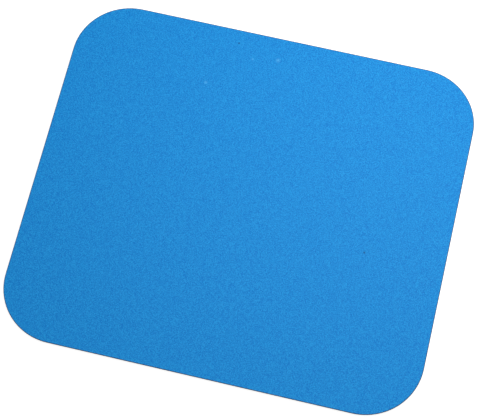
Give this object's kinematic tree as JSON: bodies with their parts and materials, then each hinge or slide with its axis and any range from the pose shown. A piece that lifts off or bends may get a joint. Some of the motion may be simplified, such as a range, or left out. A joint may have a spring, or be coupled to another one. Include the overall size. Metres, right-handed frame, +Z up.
{
  "type": "mouse pad",
  "caption": "Thin flat cloth mouse pad with large round corners: a knitted face bonded to a black foam-rubber sheet with a zigzag anti-slip tread.",
  "frame": {"origin": "middle of the underside, on the desk surface that the pad lies on", "axes": "+X along the long side to the right, +Y along the short side to the back, +Z up out of the cloth"},
  "size_m": [0.25, 0.22, 0.002],
  "materials": {
    "knit_cloth": "matte",
    "hot_melt_film": "satin",
    "foam_rubber": "matte"
  },
  "bodies": {
    "root": {"cloth_top": "knit_cloth", "adhesive_film": "hot_melt_film", "foam_base": "foam_rubber"}
  },
  "joints": []
}
